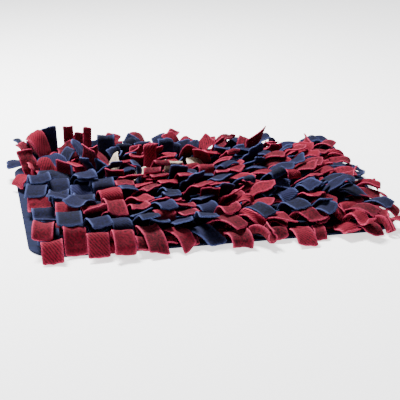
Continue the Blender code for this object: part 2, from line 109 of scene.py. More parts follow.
# The lie in each part of the mat, by x and y in mm. A strip takes the first zone that its root is in.
zoneNames = ("x from", "x to", "y from", "y to", *lieNames, "turn spread", "slope spread", "length spread")
zones = (
    (-225, -185, 60, 180, 145, 76, 44, 0.50, 0, 34, 0, 0.70, 1.05, 35, 16, 0.12),
    (-185, -110, 128, 180, 90, 80, 52, 0.50, 0, 20, 0, 0.70, 1.03, 75, 22, 0.16),
    (-110, 30, 128, 180, 90, 72, 42, 0.50, 0, 20, 0, 0.62, 0.94, 50, 20, 0.14),
    (30, 130, 128, 180, 30, 52, 6, 0.50, 0, 30, 0, 0.68, 1.00, 50, 20, 0.12),
    (130, 225, 100, 180, -30, 34, -18, 0.50, 0, 44, 0, 0.70, 1.00, 26, 12, 0.10),
    (-185, -60, 85, 128, -95, 74, 32, 0.50, 0, 30, 0, 0.74, 1.03, 60, 22, 0.14),
    (-60, 130, 85, 128, -80, 56, 14, 0.50, 0, 34, 0, 0.76, 1.02, 40, 20, 0.12),
    (-225, -110, -128, 60, -90, 48, -42, 0.55, 0, 24, 0, 0.96, 1.16, 13, 16, 0.10),
    (-225, -100, -180, -128, -90, 56, -60, 0.48, 0, 18, 0, 0.94, 1.06, 10, 12, 0.10),
    (-100, 140, -180, -128, -76, 46, -50, 0.42, 0, 24, 0, 0.95, 1.00, 18, 12, 0.10),
    (140, 225, -180, -90, -52, 44, -35, 0.42, 0, 34, 0, 0.90, 1.00, 20, 14, 0.10),
    (185, 225, -90, 100, -26, 38, -8, 0.50, 0, 50, 0, 0.78, 1.00, 16, 14, 0.08),
    (120, 185, -90, 100, -30, 42, 2, 0.50, 0, 40, 0, 0.95, 1.00, 22, 18, 0.10),
    (20, 120, -128, 85, -58, 42, 4, 0.55, 0, 30, 0, 0.92, 1.02, 22, 18, 0.10),
    (-110, 20, -128, 85, -86, 44, 10, 0.55, 0, 26, 0, 0.90, 1.04, 20, 18, 0.10),
)
anywhere = (-225, 225, -180, 180, -90, 42, 10, 0.50, 0, 20, 0, 0.95, 1.00, 15, 12, 0.10)

# Strips that lie in a way of their own: tier, column and colour, then the lie.
singleNames = ("tier", "column", "colour", *lieNames)
singles = (
    # The back left corner and the back edge.
    (14, 1, "navy", 176, 70, -12, 0.45, 0, 75, 0, 0.78, 1.10),
    (15, 2, "red", 146, 84, 60, 0.50, -25, 25, 0, 0.93, 1.25),
    (16, 2, "navy", 100, 88, 84, 0.50, 0, 10, 10, 0.84, 0.95),
    (16, 3, "red", 108, 88, 86, 0.80, 0, 14, 0, 0.84, 0.62),
    (16, 4, "red", 150, 60, 30, 0.50, 0, 20, 0, 0.70, 1.00),
    (15, 4, "red", 78, 88, 84, 0.80, 10, 20, 0, 0.86, 0.50),
    (15, 5, "navy", 90, 86, 80, 0.50, 0, 8, -8, 0.71, 1.05),
    (14, 4, "navy", 140, 62, 42, 0.50, 20, 10, 20, 0.84, 1.05),
    (14, 5, "red", 150, 58, 30, 0.50, 10, 20, 0, 0.74, 1.00),
    (14, 6, "red", -60, 84, 50, 0.50, 0, 30, 30, 0.49, 0.90),
    (15, 6, "navy", 90, 84, 70, 0.50, 0, 10, 10, 0.49, 1.00),
    (15, 7, "navy", 90, 86, 74, 0.50, 0, 10, -6, 0.51, 1.00),
    (14, 8, "navy", 90, 88, 78, 0.50, 0, 14, 0, 0.66, 0.95),
    (16, 8, "red", 8, 66, 54, 0.50, 66, 20, 0, 0.72, 0.62),
    (16, 9, "red", 30, 55, 16, 0.50, 0, 30, 0, 0.59, 1.00),
    (16, 10, "red", -20, 60, 10, 0.50, 0, 40, 0, 0.59, 1.00),
    (15, 11, "red", 10, 72, 40, 0.50, 0, 20, 42, 0.61, 1.20),
    (16, 12, "navy", 60, 60, 0, 0.50, 0, 60, 0, 0.51, 1.20),
    (15, 13, "red", -52, 78, 66, 0.50, 0, 16, 38, 0.58, 1.20),
    (14, 14, "red", -120, 80, 30, 0.50, 0, 60, 0, 0.51, 1.05),
    (14, 15, "red", 10, 44, 8, 0.50, 0, 20, 30, 0.59, 1.10),
    # Behind the middle.
    (13, 3, "navy", 150, 45, 5, 0.50, 0, 34, 0, 1.00, 1.20),
    (12, 5, "cream", 40, 76, 60, 0.50, 0, 10, 46, 0.52, 0.80),
    (12, 2, "red", 125, 74, 30, 0.50, 0, 130, 0, 0.80, 1.10),
    (12, 1, "red", 214, 56, -35, 0.50, 0, 20, 0, 0.64, 1.10),
    (11, 3, "navy", 160, 42, 0, 0.50, 0, 100, 0, 0.90, 1.00),
    (12, 3, "navy", -60, 40, -30, 0.50, 0, 14, 0, 0.90, 0.90),
    (12, 7, "red", -90, 86, 70, 0.50, 0, 44, 0, 0.72, 0.78),
    (12, 9, "red", 170, 60, -10, 0.50, 0, 60, 0, 0.75, 1.00),
    (11, 6, "cream", 20, 50, 10, 0.50, 0, 30, 0, 0.50, 0.80),
    (11, 8, "cream", -90, 80, 60, 0.50, 0, 14, 0, 0.52, 1.00),
    (12, 10, "cream", 175, 60, 0, 0.50, 0, 60, 0, 0.55, 0.75),
    (10, 6, "navy", 0, 80, 140, 0.70, 0, 30, 0, 0.70, 0.90),
    # The middle.
    (7, 6, "red", -150, 60, -60, 0.50, 60, 40, 0, 0.80, 0.80),
    (5, 11, "red", -38, 30, -5, 0.50, 0, 14, 0, 1.10, 0.80),
    (4, 9, "red", -15, 44, 15, 0.50, 0, 60, 0, 0.85, 1.00),
    (5, 9, "red", -40, 54, 40, 0.50, 0, 20, 45, 0.62, 1.00),
    (3, 10, "navy", -50, 44, -45, 0.50, 0, 20, 0, 0.90, 1.10),
    (3, 12, "navy", -64, 62, -30, 0.50, 0, 24, 0, 0.85, 1.15),
    # The front edge.
    (1, 1, "red", -90, 46, -66, 0.48, 0, 10, 0, 0.90, 1.05),
    (2, 1, "navy", -90, 74, -60, 0.42, 0, 10, 0, 1.06, 1.30),
    (2, 2, "red", -90, 62, -62, 0.44, 0, 10, 0, 1.00, 1.10),
    (3, 2, "navy", -92, 62, -50, 0.50, 0, 12, 0, 1.00, 1.25),
    (2, 5, "red", -78, 36, -42, 0.48, 0, 8, 16, 1.18, 0.98),
    (2, 6, "red", -64, 34, -36, 0.50, 0, 8, -22, 1.02, 0.95),
    (2, 7, "navy", -60, 32, -34, 0.50, 0, 8, 10, 1.06, 1.10),
    (2, 8, "red", -56, 32, -34, 0.50, 0, 10, 0, 1.02, 1.00),
    (1, 9, "red", -80, 30, -40, 0.50, 0, 14, 10, 0.75, 1.15),
    (2, 9, "red", -62, 44, -30, 0.50, 40, 150, 0, 1.00, 0.60),
    (1, 10, "red", -70, 24, -25, 0.50, 0, 310, 0, 0.75, 1.30),
    (2, 10, "red", -24, 26, -10, 0.50, 0, 16, -40, 0.90, 1.00),
    (1, 12, "red", -85, 26, -30, 0.50, 0, 10, 12, 0.80, 1.00),
    (2, 12, "red", -84, 56, -42, 0.50, 0, 12, 26, 0.85, 1.00),
    (1, 13, "red", -92, 20, -60, 0.50, 0, 20, 0, 0.62, 0.62),
    (1, 14, "red", -70, 24, -30, 0.50, 0, 16, 0, 0.58, 1.00),
    (1, 15, "red", -75, 24, -30, 0.50, 0, 30, 20, 0.60, 1.00),
    (2, 15, "red", -50, 38, -30, 0.50, 0, 20, 0, 0.78, 1.05),
    (1, 16, "red", -104, 30, -40, 0.50, 0, 310, 0, 0.52, 1.15),
    (3, 16, "red", -60, 30, -30, 0.50, 0, 20, 0, 0.70, 1.00),
    # The left edge.
    (6, 1, "navy", -88, 56, -46, 0.50, 0, 14, 0, 0.84, 1.20),
    (8, 1, "red", -94, 54, -44, 0.50, 0, 14, 0, 0.80, 1.20),
    # The right side.
    (4, 16, "navy", -66, 44, -20, 0.50, 0, 30, 0, 0.72, 1.00),
    (7, 16, "red", -14, 32, -10, 0.50, -35, 14, 30, 0.80, 1.00),
    (9, 16, "navy", -22, 32, -16, 0.50, 0, 40, 0, 0.72, 1.00),
    (6, 15, "navy", -60, 46, -10, 0.50, 0, 34, 30, 0.82, 1.30),
    (4, 15, "red", -80, 46, -30, 0.50, 0, 20, 10, 0.75, 1.00),
    (4, 13, "red", -20, 42, 0, 0.50, 0, 40, 0, 0.82, 1.00),
    (3, 14, "red", -70, 34, -20, 0.50, 0, 300, 0, 0.55, 1.20),
    (12, 16, "red", -10, 44, -10, 0.50, 0, 120, 0, 0.72, 1.00),
    (11, 16, "red", -16, 40, -10, 0.50, 0, 100, 0, 0.72, 1.00),
    (12, 15, "navy", -50, 54, -30, 0.50, 0, 150, 0, 0.62, 1.00),
    (7, 14, "red", -20, 44, 10, 0.50, 0, 20, -40, 0.60, 1.00),
)


def named(names, rows):
    # each row as a dictionary
    return [dict(zip(names, row)) for row in rows]


def ease(share):
    # 0 to 1 in an S-curve
    share = min(1.0, max(0.0, share))
    return share * share * (3 - 2 * share)


class Strip:
    # one free end: where it is rooted, and how it lies

    def __init__(self, tier, column, colour, shift, lie):
        self.tier, self.column, self.colour = tier, column, colour
        self.root = Vector(
            (
                layout["column x first"] + (column - 1) * layout["column pitch"] + shift,
                layout["tier y first"] + (tier - 1) * layout["tier pitch"] + layout["colour offset"][colour],
                layout["base thick"] + layout["lay gap"] + layout["run height"],
            )
        )
        self.heading, self.rise, self.tip, self.bend = (lie[k] for k in lieNames[:4])
        self.twist, self.cup, self.cut = (lie[k] for k in lieNames[4:7])
        self.length = lie["length"] * layout["strip length"]
        self.width = lie["width"] * layout["strip width"]
        self.across = next(count for most, count in layout["across"] if abs(self.cup) < most)
        sharp = abs(self.tip - self.rise) > layout["sharp bend"] or self.across > layout["across"][1][1]
        self.segments = layout["along"]["sharp" if sharp else "gentle"]

    def leansAlongRun(self):
        # such a strip is turned to suit at its root
        return abs(math.cos(math.radians(self.heading))) > layout["turned cosine"]

    def slope(self, share):
        # above level, in degrees, at a share of the length
        return self.rise + (self.tip - self.rise) * ease((share - self.bend) / layout["bend span"] + 0.5)

    def widthAt(self, share):
        return layout["root width"] + (self.width - layout["root width"]) * ease(share / layout["turn by"])

    def curlAt(self, share):
        return math.radians(self.cup) * ease(share / layout["cup by"])

    def stations(self):
        # (middle, along, side, share) at each section from the root to the free end
        lean = Vector((math.cos(math.radians(self.heading)), math.sin(math.radians(self.heading)), 0))
        rootSide = Vector((0, 1, 0)) if self.leansAlongRun() else Vector((1, 0, 0))
        across = Vector((-lean.y, lean.x, 0))
        if across.dot(rootSide) < 0:
            across.negate()
        place = self.root.copy()
        found = [(place.copy(), Vector((0, 0, 1)), rootSide, 0.0)]
        for index in range(1, self.segments + 1):
            share = index / self.segments
            slope = math.radians(self.slope(share - 0.5 / self.segments))
            step = math.cos(slope) * lean + Vector((0, 0, math.sin(slope)))
            place = place + self.length / self.segments * step
            slope = math.radians(self.slope(min(share, 1 - layout["last slope"] / self.segments)))
            along = math.cos(slope) * lean + Vector((0, 0, math.sin(slope)))
            side = rootSide.lerp(across, ease(share / layout["turn by"]))
            side = (side - along * side.dot(along)).normalized()
            side = Quaternion(along, math.radians(self.twist * share)) @ side
            found.append((place.copy(), along, side, share))
        return found

    def section(self, middle, along, side, share, thick):
        # the points round one section, along the back and home along the face
        face = side.cross(along)
        curl, width = self.curlAt(share), self.widthAt(share)
        if share == 0 and self.leansAlongRun():
            width, thick = layout["strip thick"], thick - layout["strip thick"] + layout["root width"]
        back, front = [], []
        for step in range(self.across + 1):
            over = step / self.across - 0.5
            if abs(curl) > layout["flat curl"]:
                radius = width / curl
                offset = side * radius * math.sin(over * curl) + face * radius * (math.cos(over * curl) - 1)
                out = side * math.sin(over * curl) + face * math.cos(over * curl)
            else:
                offset, out = side * width * over, face
            if share == 1:
                offset = offset + along * over * self.width * math.tan(math.radians(self.cut))
            back.append(middle + offset - out * thick / 2)
            front.append(middle + offset + out * thick / 2)
        return back + front[::-1]


def stripFaces(count, rings):
    # the triangles over a strip of this many rings of this many points, and over its free end
    faces = []
    for start in range(0, count * (rings - 1), count):
        for index in range(count):
            here, after = start + index, start + (index + 1) % count
            if index < count // 2:
                faces += [(after, here, here + count), (after, here + count, after + count)]
            else:
                faces += [(after, here, after + count), (here, here + count, after + count)]
    last = count * (rings - 1)
    for index in range(count // 2 - 1):
        back, front = last + index, last + count - 1 - index
        faces += [(back, front, front - 1), (back, front - 1, back + 1)]
    return faces


def stripTree(strip, thick):
    # a search tree over a strip of this thickness, its triangles and its points
    rings = [strip.section(*station, thick) for station in strip.stations()]
    points = [point for ring in rings for point in ring]
    faces = stripFaces(len(rings[0]), len(rings))
    return BVHTree.FromPolygons(points, faces), faces, points


def crossesItself(strip):
    # two triangles that share no corner meet
    tree, faces, _ = stripTree(strip, layout["strip thick"])
    return any(not set(faces[a]) & set(faces[b]) for a, b in tree.overlap(tree))


def boxTree(low, high):
    # a search tree over a box, and the box
    mesh = bmesh.new()
    bmesh.ops.create_cube(mesh, size=1)
    bmesh.ops.scale(mesh, vec=high - low, verts=mesh.verts)
    bmesh.ops.translate(mesh, vec=(low + high) / 2, verts=mesh.verts)
    made = BVHTree.FromBMesh(mesh)
    mesh.free()
    return made, low, high


def slabTree(width, depth, radius, steps, thick):
    # a search tree over a slab with round corners
    mesh = bmesh.new()
    ring = []
    for quarter, (sx, sy) in enumerate(((1, 1), (-1, 1), (-1, -1), (1, -1))):
        for step in range(steps + 1):
            angle = math.radians(90) * (quarter + step / steps)
            x = sx * (width / 2 - radius) + radius * math.cos(angle)
            y = sy * (depth / 2 - radius) + radius * math.sin(angle)
            ring.append(mesh.verts.new((x, y, 0)))
    face = mesh.faces.new(ring)
    grown = bmesh.ops.extrude_face_region(mesh, geom=[face])
    raised = [e for e in grown["geom"] if isinstance(e, bmesh.types.BMVert)]
    bmesh.ops.translate(mesh, verts=raised, vec=(0, 0, thick))
    bmesh.ops.recalc_face_normals(mesh, faces=mesh.faces)
    made = BVHTree.FromBMesh(mesh)
    mesh.free()
    return made


def apart(first, second):
    # the boxes of two trees don't meet
    return any(first[1][k] > second[2][k] or second[1][k] > first[2][k] for k in range(3))


def boxOf(points):
    low = Vector([min(p[k] for p in points) for k in range(3)])
    high = Vector([max(p[k] for p in points) for k in range(3)])
    return low, high


def liesClear(strip, laid, runTrees, base):
    # the strip's tree and box, if nothing is in its way
    tree, _, points = stripTree(strip, layout["strip thick"] + 2 * layout["clearance"])
    found = (tree, *boxOf(points))
    if found[1].z < layout["lay gap"] or tree.overlap(base) or crossesItself(strip):
        return None
    for key, run in runTrees.items():
        if key != (strip.tier, strip.colour) and not apart(found, run) and found[0].overlap(run[0]):
            return None
    for other in laid:
        if not apart(found, other) and found[0].overlap(other[0]):
            return None
    return found


def moves(ways):
    # each (lift, swing, trim) in order of cost
    found = [(l, s, t) for l in ways["lifts"] for s in ways["swings"] for t in ways["trims"]]
    lift, swing, trim = (ways[k] for k in ("lift cost", "swing cost", "trim cost"))
    return sorted(found, key=lambda m: lift * abs(m[0]) + swing * abs(m[1]) + trim * (1 - m[2]))


def settle(strip, ways, laid, runTrees, base):
    # moves a strip in these ways until it lies clear, and says whether there was room
    heading, rise, tip, length = strip.heading, strip.rise, strip.tip, strip.length
    for lift, swing, trim in moves(ways):
        strip.heading, strip.length = heading + swing, length * trim
        strip.rise = min(max(rise + lift, ways["least rise"]), max(rise, ways["most rise"]))
        strip.tip = tip + lift
        found = liesClear(strip, laid, runTrees, base)
        if found:
            laid.append(found)
            return True
    return False


def lieByZone(x, y, chance):
    # how a strip rooted at x, y lies, by its zone and by chance
    inside = [
        z
        for z in named(zoneNames, zones)
        if z["x from"] * mm <= x < z["x to"] * mm and z["y from"] * mm <= y < z["y to"] * mm
    ]
    zone = (inside + named(zoneNames, [anywhere]))[0]
    turn, slope, length = zone["turn spread"], zone["slope spread"], zone["length spread"]
    return {
        "heading": zone["heading"] + chance.uniform(-turn, turn),
        "rise": zone["rise"] + chance.uniform(-slope, slope) / 2,
        "tip": zone["tip"] + chance.uniform(-slope, slope),
        "bend": zone["bend"] + chance.uniform(-layout["bend spread"], layout["bend spread"]),
        "twist": chance.uniform(-turn, turn) * layout["twist share"],
        "cup": zone["cup"] * chance.uniform(*layout["cup spread"]),
        "cut": chance.uniform(-layout["cut spread"], layout["cut spread"]),
        "length": zone["length"] * chance.uniform(1 - length, 1 + length),
        "width": zone["width"] * chance.uniform(*layout["width spread"]),
    }


def planStrips():
    # every strip with its colour and lie, tier by tier from the front, before any is moved
    chance = random.Random(layout["seed"])
    ownWay = {(s["tier"], s["column"]): s for s in named(singleNames, singles)}
    strips = []
    for tier in range(1, layout["tiers"] + 1):
        shift = chance.uniform(-layout["tier shift"], layout["tier shift"])
        redShare = layout["fringe red share"] if tier <= layout["fringe tiers"] else layout["red share"]
        for column in range(1, layout["columns"] + 1):
            x = layout["column x first"] + (column - 1) * layout["column pitch"]
            y = layout["tier y first"] + (tier - 1) * layout["tier pitch"]
            lie = lieByZone(x, y, chance)
            colour = "red" if chance.random() < redShare else "navy"
            single = ownWay.get((tier, column))
            if single:
                lie, colour = single, single["colour"]
            strips.append((bool(single), Strip(tier, column, colour, shift, lie)))
    return strips


def combsOf(strips):
    # the strips of each comb, by tier and colour, from left to right
    combs = {}
    for strip in sorted(strips, key=lambda s: s.root.x):
        combs.setdefault((strip.tier, strip.colour), []).append(strip)
    return dict(sorted(combs.items()))


def runEnds(strips):
    # the x of each end of the run of cloth under these strips
    half = layout["root width"] / 2
    return min(s.root.x for s in strips) - half, max(s.root.x for s in strips) + half


def layStrips(base):
    # lays the singles, then the rest tier by tier
    planned = planStrips()
    runTrees = {}
    for key, strips in combsOf([strip for _, strip in planned]).items():
        (left, right), root = runEnds(strips), strips[0].root
        half = layout["strip thick"] / 2 + layout["run clearance"]
        low = Vector((left, root.y - half, layout["base thick"] + layout["lay gap"]))
        high = Vector((right, root.y + half, root.z + layout["lay gap"]))
        runTrees[key] = boxTree(low, high)
    laid, kept = [], []
    for wanted in (True, False):
        for single, strip in planned:
            if single == wanted and settle(strip, layout, laid, runTrees, base):
                kept.append(strip)
    return kept, laid, runTrees


# The cloth of the strips: what it adds to the flat pieces of the frame.
fleece = {
    "thick": 2.0 * mm,
    "rings": 20,
    "crowding": 1.25,  # above 1, the rings crowd towards the free end
    # where the points stand across a strip, and how thick the cloth is there
    "columns": (-1.0, -0.95, -0.78, -0.52, -0.26, 0.0, 0.26, 0.52, 0.78, 0.95, 1.0),
    "fullness": (0.5, 0.92, 1.0, 1.0, 1.0, 1.0, 1.0, 1.0, 1.0, 0.92, 0.5),
    "end fullness": 0.6,  # the share of the thickness at the free end
    "root pull": 0.6,  # how upright its curve sets out
    "pleats": 2.5,  # half waves across the gathered root
    "pleat depth": 1.7 * mm,
    "pleats start": 0.06,  # the share of the length where the pleats are full
    "pleats end": 0.42,  # the share where they have gone
    "wave length": 17 * mm,
    "wave height": 2.0 * mm,
    "middle wave": 0.35,  # the share of a wave's height in the middle of the width
    "ripple length": 7 * mm,
    "ripple height": 0.35 * mm,
    "ripple place": 40,  # keeps the ripples unlike the waves
    "edge curl": 2.2 * mm,
    "edge curl power": 3,  # higher keeps the curl nearer the edges
    "cup": 24,  # degrees
    "roll share": 0.5,  # how many strips have a rolled free end
    "roll": (25, 110),  # degrees
    "slight roll": (0, 14),  # degrees, on the other strips
    "rolled part": (0.16, 0.34),  # of the length
    "falling rolls": 0.72,  # how many of those roll down
    "cut from": 0.72,  # the share of the length where the cut end's own shape begins
    "ragged cut": 0.9 * mm,
    "corner round": 1.6 * mm,
    "corner power": 8,  # higher keeps the rounding nearer the corners
    "places": 90,  # how far apart in the noise two strips may be
    "trials": (1.0, 0.7, 0.45, 0.2, 0.0),  # shares of the fine shape, until the strip is clear
    # how far in from a cut edge the painted highlight reaches
    "painted highlight width": 0.9 * mm,
    "cloth shift": (0.31, 0.17),  # metres between the patches that two tiers or columns are cut from
    "seed": 5,
    # the run of cloth along each tier
    "run sides": 8,
    "run step": 4 * mm,
    "run fullness": 1.08,
    "run wander": 0.3 * mm,
    "run wander length": 20 * mm,
    "run wander place": (90, 3),  # keeps two runs unlike each other
    "run shade": 0.2,
}


def centreline(stations, count):
    # (middle, side, share) at each ring, on a smooth curve through the stations
    places = [np.array(s[0]) for s in stations]
    sides = [np.array(s[2]) for s in stations]
    first = places[0] - np.array((0, 0, 1.0)) * np.linalg.norm(places[1] - places[0]) * fleece["root pull"]
    last = places[-1] * 2 - places[-2]
    points = [first, *places, last]
    found = []
    for index in range(count):
        share = 1 - (1 - index / (count - 1)) ** fleece["crowding"]
        at = share * (len(places) - 1)
        k = min(int(at), len(places) - 2)
        t = at - k
        a, b, c, d = points[k : k + 4]
        square, cube = (2 * a - 5 * b + 4 * c - d) * t**2, (3 * b - 3 * c + d - a) * t**3
        place = 0.5 * (2 * b + (c - a) * t + square + cube)
        side = sides[k] * (1 - t) + sides[k + 1] * t
        found.append((place, side / np.linalg.norm(side), share))
    return found


def turned(vector, axis, angle):
    # a vector turned about an axis of length 1
    c, s = math.cos(angle), math.sin(angle)
    return vector * c + np.cross(axis, vector) * s + axis * (axis @ vector) * (1 - c)


def rolled(line, angle, part):
    # the line with its last part rolled about the strip's width, by this angle at the end
    places = [line[0][0]]
    alongs = []
    for (before, _, _), (place, side, share) in zip(line, line[1:]):
        step = turned(place - before, side, angle * ease((share - 1 + part) / part))
        places.append(places[-1] + step)
        alongs.append(step / np.linalg.norm(step))
    alongs = [alongs[0], *[(a + b) / np.linalg.norm(a + b) for a, b in zip(alongs, alongs[1:])], alongs[-1]]
    found = []
    for place, along, (_, side, share) in zip(places, alongs, line):
        side = side - along * (side @ along)
        found.append((place, along, side / np.linalg.norm(side), share))
    return found


def fineStrip(strip, habit, amount):
    # the two faces of the cloth, ring by ring, and each point's place on the flat strip
    columns = np.array(fleece["columns"])
    waveLength, rippleLength = fleece["wave length"], fleece["ripple length"]
    waveHeight, rippleHeight = 2 * fleece["wave height"], 2 * fleece["ripple height"]
    roll = math.radians(habit["roll"]) * amount
    line = rolled(centreline(strip.stations(), fleece["rings"]), roll, habit["rolled part"])
    middle = np.zeros((len(line), len(columns), 3))
    cut = math.tan(math.radians(strip.cut))
    flat = np.zeros((len(line), len(columns), 2))
    for r, (place, along, side, share) in enumerate(line):
        face = np.cross(side, along)
        width, curl = strip.widthAt(share), strip.curlAt(share) + math.radians(habit["cup"]) * share * amount
        growth = ease(share / fleece["pleats end"])
        for c, u in enumerate(columns):
            if abs(curl) > layout["flat curl"]:
                radius = width / curl
                turn = u / 2 * curl
                offset = side * radius * math.sin(turn) + face * radius * (math.cos(turn) - 1)
                out = side * math.sin(turn) + face * math.cos(turn)
            else:
                offset, out = side * width * u / 2, face
            x, y = u * strip.width / 2, share * strip.length
            at = Vector((x / waveLength, y / waveLength, habit["place"]))
            ripple = Vector((x / rippleLength, y / rippleLength, habit["place"] + fleece["ripple place"]))
            reach = fleece["middle wave"] + (1 - fleece["middle wave"]) * abs(u)
            wave = noise.noise(at) * waveHeight * growth * reach
            wave += noise.noise(ripple) * rippleHeight * growth
            edgeCurl = habit["left curl"] if u < 0 else habit["right curl"]
            wave += edgeCurl * abs(u) ** fleece["edge curl power"] * growth
            pleat = math.sin(math.pi * fleece["pleats"] * u + habit["place"]) * fleece["pleat depth"]
            pleat *= (1 - growth) * min(1, share / fleece["pleats start"])
            end = ease((share - fleece["cut from"]) / (1 - fleece["cut from"]))
            ragged = noise.noise(ripple) * 2 * fleece["ragged cut"]
            slant = along * end * (u / 2 * strip.width * cut + ragged)
            slant = slant - along * end * fleece["corner round"] * u ** fleece["corner power"]
            middle[r, c] = place + offset + out * (wave * amount + pleat) + slant
            flat[r, c] = (x, y)
    du, dv = np.gradient(middle, axis=1), np.gradient(middle, axis=0)
    normal = np.cross(du, dv)
    normal /= np.linalg.norm(normal, axis=2, keepdims=True) + 1e-12  # never nought
    half = fleece["thick"] / 2 * np.array(fleece["fullness"])[None, :, None]
    half = np.repeat(half, len(line), axis=0)
    half[-1] *= fleece["end fullness"]
    back, front = middle - normal * half, middle + normal * half
    points = np.concatenate([back, front[:, ::-1]], axis=1)
    places = np.concatenate([flat, flat[:, ::-1]], axis=1)
    return points.reshape(-1, 3), places.reshape(-1, 2)


def fineFaces(count, rings):
    # the faces over a closed strip of this many rings of this many points
    faces = []
    for start in range(0, count * (rings - 1), count):
        for index in range(count):
            here, after = start + index, start + (index + 1) % count
            faces.append((after, here, here + count, after + count))
    half = count // 2
    last = count * (rings - 1)
    for index in range(half - 1):
        faces.append((index, index + 1, count - 2 - index, count - 1 - index))
        back, front = last + index, last + count - 1 - index
        faces.append((back, front, front - 1, back + 1))
    return faces


def habitOf(strip, chance):
    # what makes this strip unlike the next
    falling = chance.random() < fleece["falling rolls"]
    _, along, side, _ = strip.stations()[-1]
    tried = Quaternion(side, 0.1) @ along  # a small turn, which shows the way down
    down = 1 if tried.z < along.z else -1
    rolls = fleece["roll"] if chance.random() < fleece["roll share"] else fleece["slight roll"]
    roll = chance.uniform(*rolls)
    return {
        "roll": roll * (down if falling else -down),
        "rolled part": chance.uniform(*fleece["rolled part"]),
        "left curl": chance.uniform(-1, 1) * fleece["edge curl"],
        "right curl": chance.uniform(-1, 1) * fleece["edge curl"],
        "cup": chance.uniform(-fleece["cup"], fleece["cup"]),
        "place": chance.uniform(0, fleece["places"]),
        "shade": chance.uniform(0, 1),
        "rib": chance.uniform(0, 1),
    }


# Shorter strips tied between the others, which the frame leaves out. They take whatever room is left.
fill = {
    "seed": 23,
    # in columns and tiers from the others' roots
    "places": ((0.5, 0.5), (0.5, 0.0), (0.0, 0.5), (0.25, 0.5), (0.75, 0.5)),
    "length": (0.62, 0.95),
    "width": (0.72, 1.0),
    "lower": 6,  # degrees
    "turn": 26,  # degrees
    "navy share": 0.58,
    "side margin": 12 * mm,  # from the edges of the felt
    "end margin": 8 * mm,
    "lifts": (0, -10, 10, -20, 20, 30),
    "swings": (0, 14, -14, 28, -28),
    "trims": (1.0, 0.8, 0.64, 0.5),
    "lift cost": 1,
    "swing cost": 0.6,
    "trim cost": 50,
    "least rise": 12,
    "most rise": 180,
}


def planFillers(combs):
    # every filler that could stand on the felt, with its colour and lie, before any is moved
    chance = random.Random(fill["seed"])
    mostX = baseMat["width"] / 2 - fill["side margin"]
    mostY = baseMat["depth"] / 2 - fill["end margin"]
    strips = []
    for dx, dy in fill["places"]:
        for tier in range(1, layout["tiers"] + 1):
            for column in range(1, layout["columns"] + 1):
                x = layout["column x first"] + (column - 1 + dx) * layout["column pitch"]
                y = layout["tier y first"] + (tier - 1 + dy) * layout["tier pitch"]
                lie = lieByZone(x, y, chance)
                colour = "navy" if chance.random() < fill["navy share"] else "red"
                if (tier, colour) not in combs:
                    colour = "red" if colour == "navy" else "navy"
                lie["heading"] += chance.uniform(-fill["turn"], fill["turn"])
                lie["rise"] -= fill["lower"]
                lie["length"] *= chance.uniform(*fill["length"])
                lie["width"] *= chance.uniform(*fill["width"])
                if abs(x) <= mostX and abs(y) <= mostY:
                    strip = Strip(tier, column, colour, 0, lie)
                    strip.root.x, strip.root.y = x, y
                    strips.append(strip)
    return strips


def shapeStrips(strips, base):
    # each strip's fine mesh, its waves and rolls lessened until it is clear of those shaped before it
    faces = fineFaces(2 * len(fleece["columns"]), fleece["rings"])
    shaped, laid = {}, []
    for strip in strips:
        chance = random.Random(fleece["seed"] + strip.tier * 100 + strip.column)
        habit = habitOf(strip, chance)
        for amount in fleece["trials"]:
            points, flat = fineStrip(strip, habit, amount)
            tree = BVHTree.FromPolygons(points.tolist(), faces)
            found = (tree, Vector(points.min(0)), Vector(points.max(0)))
            clear = found[1].z > layout["lay gap"] and not tree.overlap(base)
            clear = clear and not any(not apart(found, o) and tree.overlap(o[0]) for o in laid)
            if clear:
                break
        laid.append(found)
        shaped[strip] = (points, flat, habit, amount)
    return shaped, faces


def linear(code):
    # an sRGB hex code as a linear colour
    values = [int(code[i : i + 2], 16) / 255 for i in (1, 3, 5)]
    return (*[v / 12.92 if v <= 0.04045 else ((v + 0.055) / 1.055) ** 2.4 for v in values], 1.0)


def setSockets(node, tree, inputs, links):
    for name, value in dict(inputs).items():
        node.inputs[name].default_value = value
    for name, source in dict(links).items():
        tree.links.new(source, node.inputs[name])


def addNode(tree, kind, settings=(), inputs=(), links=()):
    # settings: the node's own values. inputs: its sockets' values. links: its sockets and what feeds each
    node = tree.nodes.new(kind)
    for name, value in dict(settings).items():
        setattr(node, name, value)
    setSockets(node, tree, inputs, links)
    return node


def newMaterial(name):
    # a material, its nodes and its shader
    made = bpy.data.materials.new(name)
    made.use_nodes = True
    return made, made.node_tree, made.node_tree.nodes["Principled BSDF"]


fleeceColours = {
    # what the eye sees: the pile's own colour, a near-black painted shade mixed into it in patches and
    # grooves, a painted highlight for the cut edges, and the sheen's tint
    "red": {"pile": "#700a22", "painted_shade_and_mottle": "#1e0309", "painted_highlight": "#d4446a", "sheen": "#ff7090"},
    "navy": {"pile": "#141636", "painted_shade_and_mottle": "#04050b", "painted_highlight": "#545f94", "sheen": "#7080c4"},
    "cream": {"pile": "#c9b7a2", "painted_shade_and_mottle": "#8d7c67", "painted_highlight": "#fff1df", "sheen": "#ffffff"},
}

fleeceFinish = {
    "roughness": 0.95,
    "specular": 0.15,
    "sheen": 0.06,
    "sheen roughness": 0.45,
    "mottle": 3.0 * mm,  # patches where the pile lies another way
    "mottle share": 1.3,
    "shade share": 0.2,  # how much a whole strip may be lighter than another
    "tone range": (0.54, 1.08),  # from the painted shade's colour to the pile's
    "knit": 1.5 * mm,  # the loops, drawn coarser than the real 1 mm so that they show
    "knit share": 0.8,
    "rib": 3.0 * mm,  # the slanting rib of the back
    "rib turn": 38,  # degrees
    "rib range": (0.7, 0.95),  # the strips that show it, from faintly to plainly
    "rib share": (0.06, 0.7),
    # how strongly the painted highlight lightens the cut edges
    "painted highlight share": 1.2,
    "bump": 0.7 * mm,
    "bump strength": 0.9,
}


